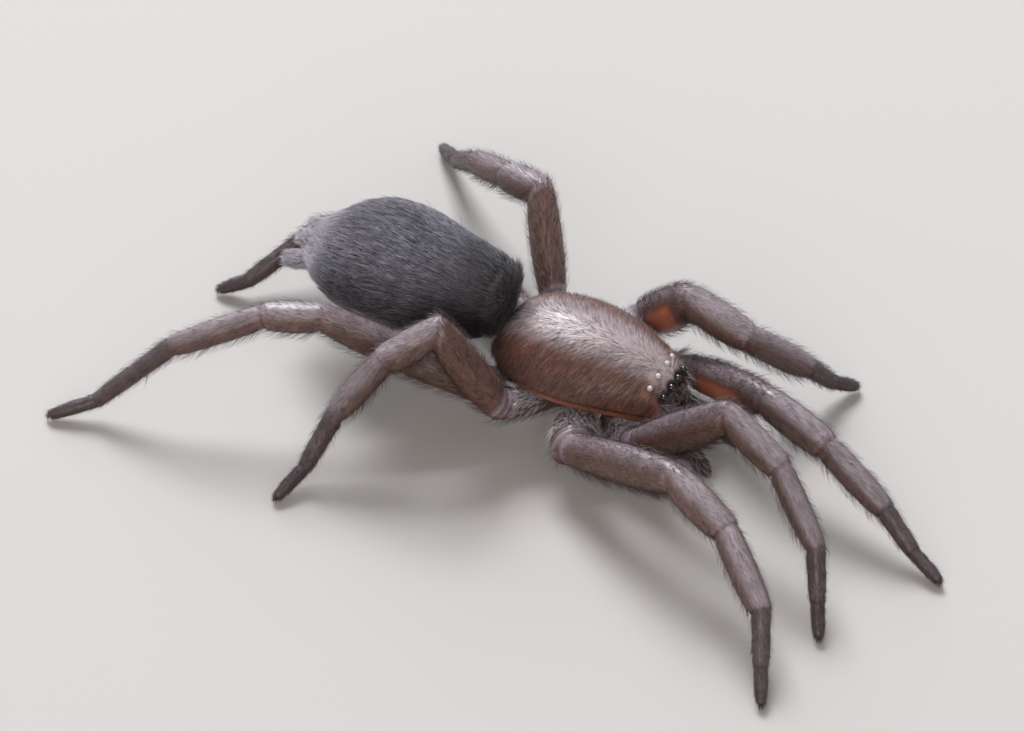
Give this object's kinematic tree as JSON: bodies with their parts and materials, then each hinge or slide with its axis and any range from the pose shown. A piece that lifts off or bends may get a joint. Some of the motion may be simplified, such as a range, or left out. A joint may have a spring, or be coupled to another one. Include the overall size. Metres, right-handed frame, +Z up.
{
  "type": "ground spider",
  "caption": "Still, life-size ground spider standing on level ground, with jointed legs spread in a walking stance, oval hind body and domed head shield.",
  "frame": {"origin": "on the ground, under the middle of the whole spider's box", "axes": "+Z up, -Y the way the head faces, -X the spider's own right side"},
  "size_m": [0.0114, 0.0184, 0.0037],
  "materials": {
    "shield": "brown shell under fine greyish lilac hair",
    "hind": "short blue-black velvet hair",
    "limb": "mauve-brown skin with short hair",
    "foot": "dark brown skin with dense short hair",
    "jaw": "smooth dark brown shell with bristles",
    "eye": "clear black lens",
    "silk": "pale grey skin with short hair"
  },
  "bodies": {
    "root": {"abdomen": "hind", "cephalothorax": "shield", "chelicera_left": "jaw", "chelicera_right": "jaw", "eye_front_middle_left": "eye", "eye_front_middle_right": "eye", "eye_front_side_left": "eye", "eye_front_side_right": "eye", "eye_hind_middle_left": "eye", "eye_hind_middle_right": "eye", "eye_hind_side_left": "eye", "eye_hind_side_right": "eye", "leg1_coxa_left": "limb", "leg1_coxa_right": "limb", "leg1_femur_left": "limb", "leg1_femur_right": "limb", "leg1_foot_left": "foot", "leg1_foot_right": "foot", "leg1_patella_left": "limb", "leg1_patella_right": "limb", "leg1_tibia_left": "limb", "leg1_tibia_right": "limb", "leg2_coxa_left": "limb", "leg2_coxa_right": "limb", "leg2_femur_left": "limb", "leg2_femur_right": "limb", "leg2_foot_left": "foot", "leg2_foot_right": "foot", "leg2_patella_left": "limb", "leg2_patella_right": "limb", "leg2_tibia_left": "limb", "leg2_tibia_right": "limb", "leg3_coxa_left": "limb", "leg3_coxa_right": "limb", "leg3_femur_left": "limb", "leg3_femur_right": "limb", "leg3_foot_left": "foot", "leg3_foot_right": "foot", "leg3_patella_left": "limb", "leg3_patella_right": "limb", "leg3_tibia_left": "limb", "leg3_tibia_right": "limb", "leg4_coxa_left": "limb", "leg4_coxa_right": "limb", "leg4_femur_left": "limb", "leg4_femur_right": "limb", "leg4_foot_left": "foot", "leg4_foot_right": "foot", "leg4_patella_left": "limb", "leg4_patella_right": "limb", "leg4_tibia_left": "limb", "leg4_tibia_right": "limb", "pedicel": "shield", "pedipalp_inner_left": "limb", "pedipalp_inner_right": "limb", "pedipalp_outer_left": "limb", "pedipalp_outer_right": "limb", "spinneret_left": "silk", "spinneret_middle": "silk", "spinneret_right": "silk"}
  },
  "joints": []
}
